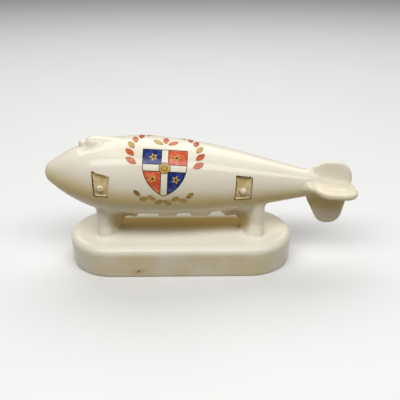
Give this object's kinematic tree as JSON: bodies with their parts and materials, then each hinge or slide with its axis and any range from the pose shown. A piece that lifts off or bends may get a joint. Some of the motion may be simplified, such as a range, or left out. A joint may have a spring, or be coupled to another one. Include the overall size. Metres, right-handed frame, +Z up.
{
  "type": "china airship ornament",
  "caption": "Small glazed china airship ornament: cigar hull with tail fins on pillars over a hollow round-ended plinth, with gilt windows and an enamel crest.",
  "frame": {"origin": "under the middle of the overall length and width, on the surface that the ornament stands on", "axes": "+X from nose to tail, +Y from port to starboard, +Z up"},
  "size_m": [0.1287, 0.038, 0.0554],
  "materials": {
    "china": "glossy",
    "buff_gilding": "glossy",
    "gilt_line": "glossy",
    "blue_enamel": "glossy",
    "red_enamel": "glossy",
    "gold_enamel": "glossy"
  },
  "bodies": {
    "root": {"plinth": "china", "front_pillar": "china", "rear_pillar": "china", "envelope": "china", "front_car": "china", "fore_mid_car": "china", "aft_mid_car": "china", "rear_car": "china", "top_fin": "china", "bottom_fin": "china", "port_fin": "china", "starboard_fin": "china", "lookout_cowl": "china", "lookout_ball": "china", "front_port_gilding": "buff_gilding", "rear_port_gilding": "buff_gilding", "front_starboard_gilding": "buff_gilding", "rear_starboard_gilding": "buff_gilding", "front_port_line": "gilt_line", "rear_port_line": "gilt_line", "front_starboard_line": "gilt_line", "rear_starboard_line": "gilt_line", "front_port_boss": "china", "rear_port_boss": "china", "front_starboard_boss": "china", "rear_starboard_boss": "china", "crest_shield": "blue_enamel", "crest_sprays": "red_enamel", "crest_garland": "gold_enamel"}
  },
  "joints": []
}
